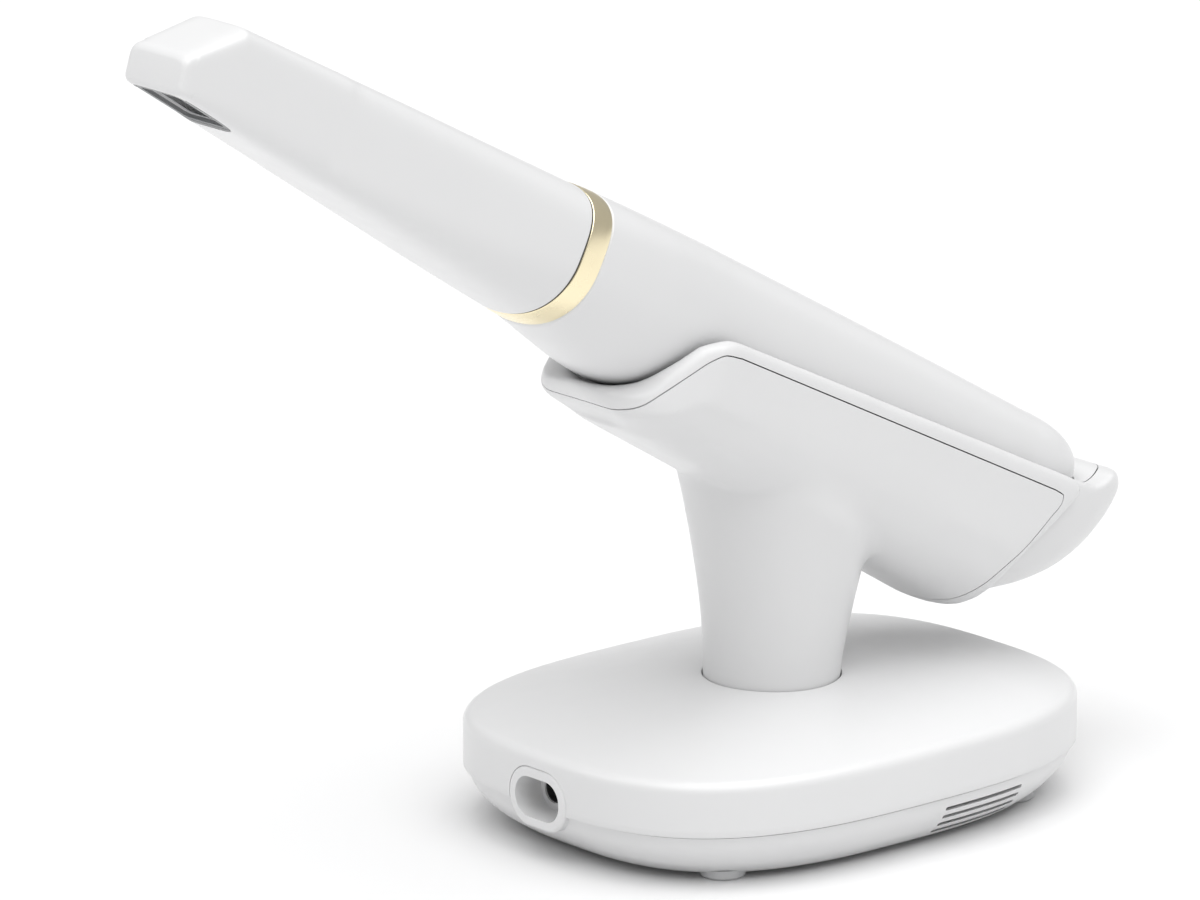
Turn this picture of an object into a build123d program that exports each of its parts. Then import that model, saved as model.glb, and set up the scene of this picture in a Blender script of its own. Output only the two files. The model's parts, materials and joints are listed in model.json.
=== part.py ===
"""Desk stand with a docked hand-held intraoral 3-D scanner.

Millimetres, +Z up.  The origin is the centre of the base on the table.  +X points to the
scanner's tail and the tip points up towards -X.  The scanner and its cradle share a tilted
frame: "along" runs from the accent ring towards the tail, "across" is Y, and "up" is square
to the handle's top.  All of the scanner's and cradle's places are (along, across, up).
"""

import os
from math import copysign, cos, pi, radians, sin, tau

from build123d import *

os.makedirs("parts", exist_ok=True)

# ---------------------------------------------------------------- driving dimensions
TILT = 28.0                      # slope of the handle and the cradle rim
RING_CENTRE = (-70.7, 0.0, 137.5)  # centre of the accent ring's front face

BASE_HALF_LENGTH = 66.9
BASE_HALF_WIDTH = 52.0
BASE_POWER = 2.86                # squareness of the base outline
SEAM_Z = 12.2                    # joint between the two base shells
WALL_TOP_Z = 24.0
DOME_RISE = 6.0
BASE_SKIN = 2.4
FLOOR_SKIN_Z = 1.2               # underside of the bottom shell, clear of the table
BOTTOM_SCALE = 0.84              # size of the bottom face against the outline
FOOT_RADIUS = 5.0
FOOT_PLACES = [(-42, -32), (-42, 32), (42, -32), (42, 32)]

PORT_WIDTH = 14.3
PORT_HEIGHT = 9.0
PORT_Z = 14.2
PORT_DEPTH = 7.4

VENT_COUNT = 4
VENT_LENGTH = 24.0
VENT_HEIGHT = 0.9
VENT_PITCH = 2.05
VENT_FIRST_Z = 9.2
VENT_X = 17.5

SHELL_WALL = 1.8                 # handle shell
TIP_WALL = 1.5
CRADLE_GAP = 0.7                 # between the scanner and its tray
PARTING_GAP = 0.3                # dark joint line round the cradle panel
RING_LENGTH = 5.9

# scanner sections: (along, half width, top, bottom)
TIP_SECTIONS = [
    (-116.0, 9.2, 15.3, -2.7),
    (-86.0, 11.3, 15.4, -5.8),
    (-55.0, 14.0, 15.4, -9.0),
    (-23.0, 16.9, 15.3, -12.7),
    (-0.5, 19.0, 15.3, -15.3),
]
HANDLE_SECTIONS = [
    (RING_LENGTH, 19.3, 15.7, -15.9),
    (16.0, 19.6, 15.8, -18.0),
    (25.0, 19.4, 15.8, -19.7),
    (32.0, 18.7, 15.8, -20.3),
    (40.0, 17.7, 15.8, -18.4),
    (50.0, 16.9, 15.6, -15.8),
    (64.0, 16.6, 15.3, -14.9),
    (110.0, 16.4, 14.1, -14.2),
    (140.0, 16.2, 13.1, -13.5),
    (153.0, 15.8, 12.7, -12.9),
    (161.0, 14.5, 12.0, -12.0),
    (166.5, 12.3, 10.6, -10.6),
    (170.0, 9.3, 8.4, -8.4),
    (172.0, 5.6, 5.2, -5.2),
]
TOP_POWER = 3.3
BOTTOM_POWER = 2.15
TIP_END_POWER = 6.0

# cradle hull sections: (along, half width, bottom)
HULL_SECTIONS = [
    (20.0, 23.0, -26.9),
    (90.0, 22.6, -31.0),
    (166.0, 21.4, -35.8),
]
BOW_FRONT = 26.0                 # foremost point of the hull in plan
BOW_ROUND = 23.0                 # length of its rounded front
BOW_KEEL = [(20, -21.8), (26.4, -23.2), (30.5, -25.9), (38.0, -27.4), (38.0, -40), (20, -40)]
HULL_SIDE_LEVEL = -10.0          # below this level the hull's sides turn under
HULL_POWER = 2.9
HULL_WALL = 2.3

# cradle rim seen from the side, from the bow to the rear corner, then down the rear edge
RIM_LINE = [(20, -21.6), (29.5, -21.5), (33.4, -18.6), (36.6, -12.0), (40.5, -5.6), (47, -1.9)]
RIM_STRAIGHT_END = (160.0, 2.3)
REAR_EDGE = [(163.2, 0.4), (159.0, -7.5), (153.0, -17.2), (150.0, -25.0), (148.0, -38.0)]
# joint line inside the rim
PARTING_LINE = [(20, -27.2), (29, -26.9), (34.5, -20.4), (40.0, -11.6), (43.5, -6.7), (48.5, -5.0)]
PARTING_STRAIGHT_END = (156.6, -1.9)
PARTING_REAR = [(157.7, -3.0), (154.2, -10.5), (149.2, -20.0), (146.0, -27.0), (143.5, -38.0)]

# stern behind the wings: (up, half width, end)
STERN_LEVELS = [
    (-31.5, 12.5, 153.0),
    (-27.0, 16.6, 161.5),
    (-22.0, 18.6, 170.0),
    (-15.0, 19.6, 178.3),
    (-7.0, 20.0, 183.8),
    (1.0, 20.0, 186.8),
    (9.4, 20.0, 187.8),
]
STERN_ROUND = 26.0               # length of its rounded end
STERN_FRONT = 118.0
STERN_TOP = [(120, 0.9), (160, 2.2), (168, 2.8), (172, 4.8), (176, 7.6), (181, 9.0), (195, 9.2)]
TAIL_ROUND = 21.0                # length of the scanner's rounded tail in plan
STERN_JOINT_END = 180.5          # end of the tray inside the stern cover
STERN_WALL = 2.4
STERN_FLOOR = -28.5              # inside face of the stern cover's floor

# neck: (height, centre along X, radius)
NECK_SECTIONS = [
    (24.0, 0.0, 15.0),
    (31.0, 0.1, 15.1),
    (40.0, 0.9, 16.0),
    (52.0, 1.8, 18.0),
    (64.0, 2.4, 20.4),
    (76.0, 2.8, 23.2),
    (84.0, 3.0, 25.4),
]
NECK_WALL = 2.6
NECK_BOSS_X = 9.4                # screw bosses inside the neck's foot
NECK_GAP = 0.35                  # joint line round the neck

BUTTON_ALONG = 31.0
BUTTON_LENGTH = 13.0
BUTTON_WIDTH = 8.0
BUTTON_GAP = 0.15
LIGHT_BAND = 1.6                 # width of the status light round the button

PIN_ALONG = (133.0, 139.0)       # charging contacts
PIN_ACROSS = 4.0
PIN_RADIUS = 0.8
PAD_RADIUS = 2.0


# ---------------------------------------------------------------- frames and outlines
def tilted(along, across=0.0, up=0.0):
    """A point of the tilted frame in the row frame."""
    slope = radians(TILT)
    x = RING_CENTRE[0] + along * cos(slope) + up * sin(slope)
    z = RING_CENTRE[2] - along * sin(slope) + up * cos(slope)
    return Vector(x, across, z)


AXIS = tilted(1) - tilted(0)
UP = tilted(0, 0, 1) - tilted(0)


def station(along):
    """Plane across the scanner: x is Y, y is up, normal towards the tail."""
    return Plane(origin=tilted(along), x_dir=(0, 1, 0), z_dir=AXIS)


def level(up, along=0.0, across=0.0):
    """Plane parallel to the handle's top: x is along, y is Y, normal up."""
    return Plane(origin=tilted(along, across, up), x_dir=AXIS, z_dir=UP)


def side_plane(across=0.0):
    """The plane of symmetry: x is along, y is up, normal towards -Y."""
    return Plane(origin=tilted(0, across), x_dir=AXIS, z_dir=(0, -1, 0))


def signed_power(value, power):
    return copysign(abs(value) ** power, value)


def oval(half_width, top, bottom, top_power, bottom_power):
    """Face with a superellipse outline about the mid level, squarer above than below."""
    middle = 0.0 if bottom < -top / 2 else (top + bottom) / 2
    count = 32
    points = []
    for i in range(count):
        angle = tau * i / count
        upper = sin(angle) >= 0
        power = 2 / (top_power if upper else bottom_power)
        height = top - middle if upper else middle - bottom
        x = half_width * signed_power(cos(angle), power)
        points.append((x, middle + height * signed_power(sin(angle), power)))
    with BuildLine() as outline:
        Spline(*points, periodic=True)
    make_face(outline.edges())


def trough(half_width, side_level, bottom, power, top=30.0):
    """Face with a rounded bottom and upright sides, open-topped when it cuts."""
    count = 12
    points = []
    for i in range(count + 1):
        angle = -pi * i / count
        x = half_width * signed_power(cos(angle), 2 / power)
        depth = (side_level - bottom) * abs(sin(angle)) ** (2 / power)
        points.append((x, side_level - depth))
    with BuildLine() as outline:
        Spline(*points, tangents=[(0, -1), (0, 1)])
        Polyline(points[-1], (-half_width, top), (half_width, top), points[0])
    make_face(outline.edges())


def base_outline(scale, inset=0.0):
    """Face with the base's rounded-rectangle outline."""
    half_x = BASE_HALF_LENGTH * scale - inset
    half_y = BASE_HALF_WIDTH * scale - inset
    count = 40
    points = []
    for i in range(count):
        angle = tau * i / count
        x = half_x * signed_power(cos(angle), 2 / BASE_POWER)
        points.append((x, half_y * signed_power(sin(angle), 2 / BASE_POWER)))
    with BuildLine() as outline:
        Spline(*points, periodic=True)
    make_face(outline.edges())


def section_powers(along):
    """Squareness of the tip: boxy at its end, like the ring at its root."""
    share = min(1.0, max(0.0, -along / 105.0))
    top = TOP_POWER + (TIP_END_POWER - TOP_POWER) * share
    bottom = BOTTOM_POWER + (TIP_END_POWER - BOTTOM_POWER) * share
    return top, bottom


def scanner_loft(sections, inset=0.0, mode=Mode.ADD):
    """Straight-ruled loft through scanner sections, inset by a wall or grown by a gap."""
    faces = []
    for along, half_width, top, bottom in sections:
        powers = section_powers(along)
        with BuildSketch(station(along)) as section:
            oval(half_width - inset, top - inset, bottom + inset, *powers)
        faces.append(section.sketch)
    loft(faces, ruled=True, mode=mode)


def side_cut(points, half_width=40.0, mode=Mode.SUBTRACT, radius=0.0):
    """Extrude a side-view polygon right across the part."""
    with BuildSketch(side_plane()) as profile:
        with BuildLine() as outline:
            if radius:
                FilletPolyline(*points, radius=radius, close=True)
            else:
                Polyline(*points, close=True)
        make_face(outline.edges())
    extrude(profile.sketch, amount=half_width, both=True, mode=mode)


def trough_loft(sections, side_level, power, mode=Mode.ADD):
    """Loft through open-topped trough sections."""
    faces = []
    for along, half_width, bottom in sections:
        with BuildSketch(station(along)) as section:
            trough(half_width, side_level, bottom, power)
        faces.append(section.sketch)
    loft(faces, mode=mode)


def tilted_box(low, high, mode=Mode.ADD):
    """Box between two corners of the tilted frame."""
    middle = [(a + b) / 2 for a, b in zip(low, high)]
    size = [b - a for a, b in zip(low, high)]
    with BuildSketch(level(low[2], middle[0], middle[1])) as face:
        Rectangle(size[0], size[1])
    extrude(face.sketch, amount=size[2], mode=mode)


def finish(builder, name):
    """Label a piece and write it."""
    builder.part.label = name
    export_step(builder.part, f"parts/{name}.step")


# ---------------------------------------------------------------- scan tip
RAMP_TOP = (-98.6, 15.5)
RAMP_FOOT = (-111.1, 4.8)
END_FOOT = (-109.0, -6.0)
WINDOW_BACK = -92.5
WINDOW_FRONT = -107.2
WINDOW_HALF_WIDTH = 6.4
FRAME_MARGIN = 1.6
FRAME_THICKNESS = 1.0
UNDERSIDE_SLOPE = 5.75           # the tip's underside against its top, degrees


def window_box(grow, low, high, mode):
    """Block square to the tip's underside over its window, from low to high outward."""
    lean = radians(UNDERSIDE_SLOPE)
    direction = AXIS * cos(lean) - UP * sin(lean)
    outward = AXIS * -sin(lean) - UP * cos(lean)
    foot = tilted((WINDOW_BACK + WINDOW_FRONT) / 2, 0, -4.15)
    plane = Plane(origin=foot + outward * low, x_dir=direction, z_dir=outward)
    with BuildSketch(plane) as face:
        length = WINDOW_BACK - WINDOW_FRONT + 2 * grow
        RectangleRounded(length, 2 * (WINDOW_HALF_WIDTH + grow), 1.5)
    extrude(face.sketch, amount=high - low, mode=mode)


with BuildPart() as tip_shell:
    scanner_loft(TIP_SECTIONS)
    nose_cut = [(-135, 30), (-88, 30), (-88, RAMP_TOP[1] + 0.3), RAMP_TOP, RAMP_FOOT, END_FOOT]
    side_cut(nose_cut + [(-108.6, -30), (-135, -30)], radius=1.4)
    inner = [(a, w, t, b) for a, w, t, b in TIP_SECTIONS[1:]]
    inner = [(-94.0, 10.6, 15.4, -4.9)] + inner + [(1.0, 19.1, 15.3, -15.4)]
    scanner_loft(inner, TIP_WALL, Mode.SUBTRACT)
    chamber = [(-93.0, 13.8), (-96.5, 12.9), (-109.0, 2.5), (-107.8, -2.0), (-93.0, -3.0)]
    side_cut(chamber, half_width=8.0)
    window_box(0.0, -4.0, 3.0, Mode.SUBTRACT)
    window_box(FRAME_MARGIN, -FRAME_THICKNESS, 3.0, Mode.SUBTRACT)
finish(tip_shell, "tip_shell")

with BuildPart() as window_frame:
    window_box(FRAME_MARGIN - 0.05, -FRAME_THICKNESS, -0.2, Mode.ADD)
    window_box(0.0, -FRAME_THICKNESS - 1.0, 1.0, Mode.SUBTRACT)
finish(window_frame, "window_frame")

with BuildPart() as tip_mirror:
    side_cut([(-97.0, 12.3), (-107.9, 3.2), (-107.2, 2.4), (-96.3, 11.5)], 7.0, Mode.ADD)
finish(tip_mirror, "tip_mirror")

# ---------------------------------------------------------------- handpiece casing
COLLAR = (17.2, 13.5, -13.5)     # half width, top, bottom of the collar inside the ring
COLLAR_END = 12.0
TUBE_SECTIONS = [
    (-66.0, 10.8, 13.1, -5.6),
    (-23.0, 14.6, 13.0, -10.4),
    (0.5, 16.5, 12.9, -12.9),
]
TUBE_WALL = 1.3
WINDOW_SEAT = -64.0              # rear face of the front window


def collar_block(inset, start, end, mode=Mode.ADD):
    """Straight block with the collar's outline."""
    half_width, top, bottom = COLLAR
    with BuildSketch(station(start)) as face:
        oval(half_width - inset, top - inset, bottom + inset, TOP_POWER, BOTTOM_POWER)
    extrude(face.sketch, amount=end - start, mode=mode)


def button_stadium(bottom, top, grow, mode=Mode.ADD):
    """Stadium-shaped block over the scan button's place."""
    with BuildSketch(level(bottom, BUTTON_ALONG)) as face:
        SlotOverall(BUTTON_LENGTH + 2 * grow, BUTTON_WIDTH + 2 * grow)
    extrude(face.sketch, amount=top - bottom, mode=mode)


def contact_pegs(radius, bottom, top, mode=Mode.ADD):
    """Round pegs at the charging contacts."""
    for along in PIN_ALONG:
        with BuildSketch(level(bottom, along)) as face:
            with Locations((0, -PIN_ACROSS), (0, PIN_ACROSS)):
                Circle(radius)
        extrude(face.sketch, amount=top - bottom, mode=mode)


with BuildPart() as handle_shell:
    scanner_loft(HANDLE_SECTIONS)
    inside = HANDLE_SECTIONS[:-1]
    scanner_loft([(a, w, t, b) for a, w, t, b in inside], SHELL_WALL, Mode.SUBTRACT)
    button_stadium(12.0, 20.0, LIGHT_BAND + 0.05, Mode.SUBTRACT)
    contact_pegs(PAD_RADIUS + 0.05, -16.0, -11.0, Mode.SUBTRACT)
finish(handle_shell, "handle_shell")

with BuildPart() as accent_ring:
    rings = [(0.4, 19.1, 15.4, -15.4), (3.0, 19.2, 15.55, -15.55), (RING_LENGTH, 19.3, 15.7, -15.9)]
    scanner_loft(rings)
    collar_block(0.0, 0.0, RING_LENGTH + 0.1, Mode.SUBTRACT)
finish(accent_ring, "accent_ring")

with BuildPart() as ring_gasket:
    scanner_loft([(0.0, 18.8, 15.1, -15.1), (0.4, 18.8, 15.1, -15.1)])
    collar_block(0.0, -0.1, 0.5, Mode.SUBTRACT)
finish(ring_gasket, "ring_gasket")

with BuildPart() as nose_housing:
    scanner_loft(TUBE_SECTIONS)
    collar_block(0.0, 0.0, COLLAR_END)
    scanner_loft(TUBE_SECTIONS, TUBE_WALL, Mode.SUBTRACT)
    collar_block(2.4, -0.2, COLLAR_END + 0.1, Mode.SUBTRACT)
finish(nose_housing, "nose_housing")

with BuildPart() as front_window:
    half_width, top, bottom = TUBE_SECTIONS[0][1:]
    pane = (half_width - TUBE_WALL - 0.05, top - TUBE_WALL - 0.05, bottom + TUBE_WALL + 0.05)
    with BuildSketch(station(WINDOW_SEAT - 1.2)) as pane_face:
        oval(*pane, *section_powers(TUBE_SECTIONS[0][0]))
    extrude(pane_face.sketch, amount=1.2)
finish(front_window, "front_window")

with BuildPart() as tip_grip_ring:
    scanner_loft([(-6.0, 16.6, 13.4, -12.8), (-3.5, 16.8, 13.4, -13.0)])
    scanner_loft(TUBE_SECTIONS, -0.02, Mode.SUBTRACT)
finish(tip_grip_ring, "tip_grip_ring")

with BuildPart() as scan_button:
    button_stadium(12.7, 13.5, -BUTTON_GAP + 0.9)
    button_stadium(13.4, 15.9, -BUTTON_GAP)
    top_face = scan_button.faces().sort_by_distance(tilted(BUTTON_ALONG, 0, 15.9))[0]
    fillet(top_face.edges(), radius=0.6)
finish(scan_button, "scan_button")

with BuildPart() as status_light:
    button_stadium(14.1, 15.75, LIGHT_BAND)
    button_stadium(14.0, 16.0, 0.0, Mode.SUBTRACT)
finish(status_light, "status_light")

# ---------------------------------------------------------------- handpiece insides
SLED_TOP = -7.0
SLED_THICKNESS = 1.6
BARREL_RADIUS = 4.2
BARREL_ACROSS = 4.8
BARREL_UP = 3.5
BATTERY_RADIUS = 9.0
BATTERY_START = 62.0
BATTERY_LENGTH = 65.0


def barrel(across, start, end, radius, up=BARREL_UP, mode=Mode.ADD):
    """Round block lying along the scanner."""
    with BuildSketch(station(start)) as face:
        with Locations((across, up)):
            Circle(radius)
    extrude(face.sketch, amount=end - start, mode=mode)


with BuildPart() as optics_sled:
    tilted_box((-16, -8, SLED_TOP - SLED_THICKNESS), (56, 8, SLED_TOP))
    tilted_box((-2, -8, SLED_TOP), (0, 8, 9))
    for across in (-BARREL_ACROSS, BARREL_ACROSS):
        barrel(across, -3, 1, BARREL_RADIUS - 0.8, mode=Mode.SUBTRACT)
finish(optics_sled, "optics_sled")

with BuildPart() as camera_barrel:
    barrel(BARREL_ACROSS, -46, -2, BARREL_RADIUS)
    barrel(BARREL_ACROSS, -47, -1, BARREL_RADIUS - 1.2, mode=Mode.SUBTRACT)
finish(camera_barrel, "camera_barrel")

with BuildPart() as projector_barrel:
    barrel(-BARREL_ACROSS, -42, -2, BARREL_RADIUS)
    barrel(-BARREL_ACROSS, -43, -1, BARREL_RADIUS - 1.2, mode=Mode.SUBTRACT)
finish(projector_barrel, "projector_barrel")

with BuildPart() as camera_lenses:
    for start in (-44.5, -36.0, -22.0):
        barrel(BARREL_ACROSS, start, start + 1.8, BARREL_RADIUS - 1.2)
finish(camera_lenses, "camera_lenses")

with BuildPart() as projector_lenses:
    for start in (-40.5, -27.0):
        barrel(-BARREL_ACROSS, start, start + 2.0, BARREL_RADIUS - 1.2)
finish(projector_lenses, "projector_lenses")

with BuildPart() as image_sensor:
    tilted_box((0.1, 0.6, -2.5), (1.6, 9.4, 8.5))
    tilted_box((1.6, 2.4, 0.5), (2.6, 7.4, 6.0))
finish(image_sensor, "image_sensor")

with BuildPart() as light_engine:
    tilted_box((0.1, -9.6, -3.0), (9.0, -0.6, 8.5))
finish(light_engine, "light_engine")

with BuildPart() as heat_sink:
    tilted_box((9.1, -9.6, -6.0), (11.0, 9.6, 8.0))
    for across in (-8.4, -4.2, 0.0, 4.2, 8.4):
        tilted_box((11.0, across - 0.6, -6.0), (22.0, across + 0.6, 8.0))
finish(heat_sink, "heat_sink")

with BuildPart() as button_board:
    tilted_box((23.0, -9.0, 9.0), (50.0, 9.0, 10.2))
    tilted_box((28.0, -3.0, 10.2), (34.0, 3.0, 11.2))
    with BuildSketch(level(11.2, BUTTON_ALONG)) as plunger_face:
        Circle(1.6)
    extrude(plunger_face.sketch, amount=0.6)
finish(button_board, "button_board")

with BuildPart() as main_board:
    tilted_box((57.0, -11.0, 7.4), (138.0, 11.0, 8.8))
    for start, length in ((66.0, 14.0), (88.0, 9.0), (104.0, 12.0)):
        tilted_box((start, -6.0, 8.8), (start + length, 6.0, 10.3))
finish(main_board, "main_board")

with BuildPart() as battery_pack:
    barrel(0, BATTERY_START, BATTERY_START + BATTERY_LENGTH, BATTERY_RADIUS, up=-2.2)
    ends = battery_pack.edges().filter_by(GeomType.CIRCLE)
    fillet(ends, radius=1.0)
finish(battery_pack, "battery_pack")

with BuildPart() as battery_cradle:
    tilted_box((57.0, -6.5, -11.0), (61.9, 6.5, 7.2))
    tilted_box((127.2, -6.5, -10.2), (130.0, 6.5, 7.2))
finish(battery_cradle, "battery_cradle")

with BuildPart() as charge_pads:
    contact_pegs(PAD_RADIUS, -13.25, -11.3)
finish(charge_pads, "charge_pads")

with BuildPart() as sled_screws:
    for along in (26.0, 50.0):
        with BuildSketch(level(SLED_TOP, along)) as heads:
            with Locations((0, -6.5), (0, 6.5)):
                Circle(1.6)
        extrude(heads.sketch, amount=1.2)
finish(sled_screws, "sled_screws")

# ---------------------------------------------------------------- cradle
def cradle_side(line, straight_end, rear):
    """Side-view polygon that keeps what lies under a rim line and ahead of its rear edge."""
    return line + [straight_end] + rear + [(rear[-1][0], -60), (line[0][0], -60)]


def keep_side(points, radius=3.0):
    """Keep only what lies inside a side-view polygon."""
    side_cut(points, mode=Mode.INTERSECT, radius=radius)


def stern_loft(inset, joint_end=None, mode=Mode.ADD):
    """Loft through the stern's plan outlines, one above another."""
    faces = []
    for up, half_width, end in STERN_LEVELS:
        half_width -= inset
        end = min(end, joint_end) if joint_end else end - inset
        round_start = end - STERN_ROUND
        count = 8
        points = []
        for i in range(count + 1):
            angle = pi / 2 - pi * i / count
            points.append((round_start + STERN_ROUND * cos(angle), half_width * sin(angle)))
        with BuildSketch(level(up)) as section:
            with BuildLine() as outline:
                Spline(*points, tangents=[(1, 0), (-1, 0)])
                front = STERN_FRONT
                Polyline(points[-1], (front, -half_width), (front, half_width), points[0])
            make_face(outline.edges())
        faces.append(section.sketch)
    loft(faces, mode=mode)


def scanner_space(gap, mode):
    """Room for the scanner in its cradle, open upwards round its tail."""
    scanner_loft(HANDLE_SECTIONS, -gap, mode)
    tail_end = HANDLE_SECTIONS[-1][0] + gap
    tail_width = HANDLE_SECTIONS[-6][1] + gap
    with BuildSketch(level(0, tail_end - TAIL_ROUND)) as plan:
        Ellipse(TAIL_ROUND, tail_width)
        Rectangle(40, 2 * tail_width, align=(Align.MAX, Align.CENTER))
    extrude(plan.sketch, amount=30, mode=mode)


RIM_SIDE = cradle_side(RIM_LINE, RIM_STRAIGHT_END, REAR_EDGE)
PARTING_SIDE = cradle_side(PARTING_LINE, PARTING_STRAIGHT_END, PARTING_REAR)


def hull_block(inset):
    """The whole cradle hull as a solid block, with its rounded bow."""
    trough_loft([(a, w - inset, b + inset) for a, w, b in HULL_SECTIONS], HULL_SIDE_LEVEL, HULL_POWER)
    front = BOW_FRONT + inset
    half_width = HULL_SECTIONS[0][1] - inset
    round_end = BOW_FRONT + BOW_ROUND
    with BuildSketch(level(-50, round_end)) as plan:
        Ellipse(round_end - front, half_width)
        Rectangle(150, 2 * half_width, align=(Align.MIN, Align.CENTER))
    extrude(plan.sketch, amount=90, mode=Mode.INTERSECT)
    side_cut([(a, n + inset) for a, n in BOW_KEEL], radius=2.0)


def neck_block(wall, foot):
    """The flared neck, up into the hull."""
    faces = []
    for height, centre, radius in [(foot, 0.0, NECK_SECTIONS[0][2])] + NECK_SECTIONS[1:]:
        with BuildSketch(Plane((centre, 0, height))) as face:
            Circle(radius - wall)
        faces.append(face.sketch)
    return loft(faces, mode=Mode.PRIVATE)


def tilted_pegs(places, radius, bottom, top, mode=Mode.ADD):
    """Round pegs square to the handle's top at (along, across) places."""
    for along, across in places:
        with BuildSketch(level(bottom, along, across)) as face:
            Circle(radius)
        extrude(face.sketch, amount=top - bottom, mode=mode)


TRAY_SECTIONS = [
    (33.0, 19.6, -23.6),
    (46.0, 19.4, -20.2),
    (60.0, 19.3, -18.4),
    (85.0, 19.2, -17.6),
    (120.0, 19.0, -17.2),
    (160.0, 18.9, -16.8),
]
FRONT_SCREW = [(56.0, 0.0)]
REAR_SCREWS = [(124.5, -9.0), (124.5, 9.0)]
FRONT_SEAT = -17.6
REAR_SEAT = -14.6
PAD_SPANS = [(62.0, 74.0), (108.0, 119.0)]
PAD_HALF_WIDTH = 8.0
PAD_RECESS = 1.3                 # depth of the pads' pockets below the scanner
PAD_CLEARANCE = 0.3
STERN_ABOVE = STERN_TOP + [(195, 60), (120, 60)]
REAR_GUARD = [(100, 40)] + [RIM_STRAIGHT_END] + REAR_EDGE + [(100, -60)]


def pad_block(gap):
    """The stretches of the scanner's underside, grown by a gap, that rest on pads."""
    with BuildPart() as grown:
        scanner_loft(HANDLE_SECTIONS, -gap)
    with BuildPart() as spans:
        for start, end in PAD_SPANS:
            tilted_box((start, -PAD_HALF_WIDTH, -25), (end, PAD_HALF_WIDTH, -5))
        add(grown.part, mode=Mode.INTERSECT)
    return spans.part


with BuildPart() as hull_space:
    hull_block(HULL_WALL)

with BuildPart() as stand_shell:
    hull_block(0.0)
    keep_side(PARTING_SIDE, radius=1.2)
    add(neck_block(0.0, 24.0))
    add(hull_space.part, mode=Mode.SUBTRACT)
    add(neck_block(NECK_WALL, 20.0), mode=Mode.SUBTRACT)
    tilted_pegs(FRONT_SCREW, 3.4, -28.0, -19.2)
    tilted_pegs(REAR_SCREWS, 3.4, -31.0, -17.4)
    tilted_pegs(FRONT_SCREW + REAR_SCREWS, 1.25, -27.0, -15.0, Mode.SUBTRACT)
    with BuildSketch(Plane.XY.offset(24.0)) as neck_bosses:
        with Locations((-NECK_BOSS_X, 0), (NECK_BOSS_X, 0)):
            Circle(3.2)
    extrude(neck_bosses.sketch, amount=16.0)
    with BuildSketch(Plane.XY.offset(23.0)) as boss_holes:
        with Locations((-NECK_BOSS_X, 0), (NECK_BOSS_X, 0)):
            Circle(1.25)
    extrude(boss_holes.sketch, amount=14.0, mode=Mode.SUBTRACT)
finish(stand_shell, "stand_shell")

with BuildPart() as cradle_rim:
    hull_block(0.0)
    keep_side(RIM_SIDE, radius=2.0)
    side_cut(PARTING_SIDE, radius=1.2)
    scanner_space(CRADLE_GAP, Mode.SUBTRACT)
    tilted_box((20, -30, -60), (125, 30, -29), Mode.SUBTRACT)
finish(cradle_rim, "cradle_rim")

with BuildPart() as cradle_tray:
    trough_loft(TRAY_SECTIONS, -4.0, BOTTOM_POWER)
    keep_side(PARTING_SIDE, radius=1.2)
    scanner_space(CRADLE_GAP, Mode.SUBTRACT)
    contact_pegs(PIN_RADIUS + 0.08, -25.0, -10.0, Mode.SUBTRACT)
    tilted_pegs(FRONT_SCREW + REAR_SCREWS, 1.5, -30.0, -10.0, Mode.SUBTRACT)
    tilted_pegs(FRONT_SCREW, 2.9, FRONT_SEAT, -10.0, Mode.SUBTRACT)
    tilted_pegs(REAR_SCREWS, 2.9, REAR_SEAT, -8.0, Mode.SUBTRACT)
    add(pad_block(PAD_RECESS), mode=Mode.SUBTRACT)
finish(cradle_tray, "cradle_tray")

with BuildPart() as rest_pads:
    add(pad_block(PAD_RECESS))
    add(pad_block(PAD_CLEARANCE), mode=Mode.SUBTRACT)
finish(rest_pads, "rest_pads")

with BuildPart() as tray_screws:
    tilted_pegs(FRONT_SCREW, 2.7, FRONT_SEAT, FRONT_SEAT + 1.0)
    tilted_pegs(REAR_SCREWS, 2.7, REAR_SEAT, REAR_SEAT + 1.0)
    tilted_pegs(FRONT_SCREW, 1.2, -26.0, FRONT_SEAT)
    tilted_pegs(REAR_SCREWS, 1.2, -26.0, REAR_SEAT)
finish(tray_screws, "tray_screws")

with BuildPart() as contact_block:
    tilted_box((129.5, -7.0, -23.5), (142.5, 7.0, -17.4))
    contact_pegs(PIN_RADIUS + 0.08, -22.5, -10.0, Mode.SUBTRACT)
finish(contact_block, "contact_block")

with BuildPart() as contact_pins:
    contact_pegs(PIN_RADIUS, -20.5, -13.55)
finish(contact_pins, "contact_pins")

with BuildPart() as stern_tray:
    stern_loft(STERN_WALL + PARTING_GAP, STERN_JOINT_END)
    side_cut(STERN_ABOVE)
    side_cut([(100, 60), (156.0, 60), (156.0, -9.0), (200, -9.0), (200, -60), (100, -60)])
    side_cut(REAR_GUARD)
    scanner_space(CRADLE_GAP, Mode.SUBTRACT)
finish(stern_tray, "stern_tray")

with BuildPart() as stern_inside:
    stern_loft(STERN_WALL, STERN_JOINT_END + PARTING_GAP)
    side_cut([(100, STERN_FLOOR), (200, STERN_FLOOR), (200, -60), (100, -60)])

with BuildPart() as stern_cover:
    stern_loft(0.0)
    side_cut(STERN_ABOVE)
    side_cut(REAR_GUARD)
    add(stern_inside.part, mode=Mode.SUBTRACT)
finish(stern_cover, "stern_cover")

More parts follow.
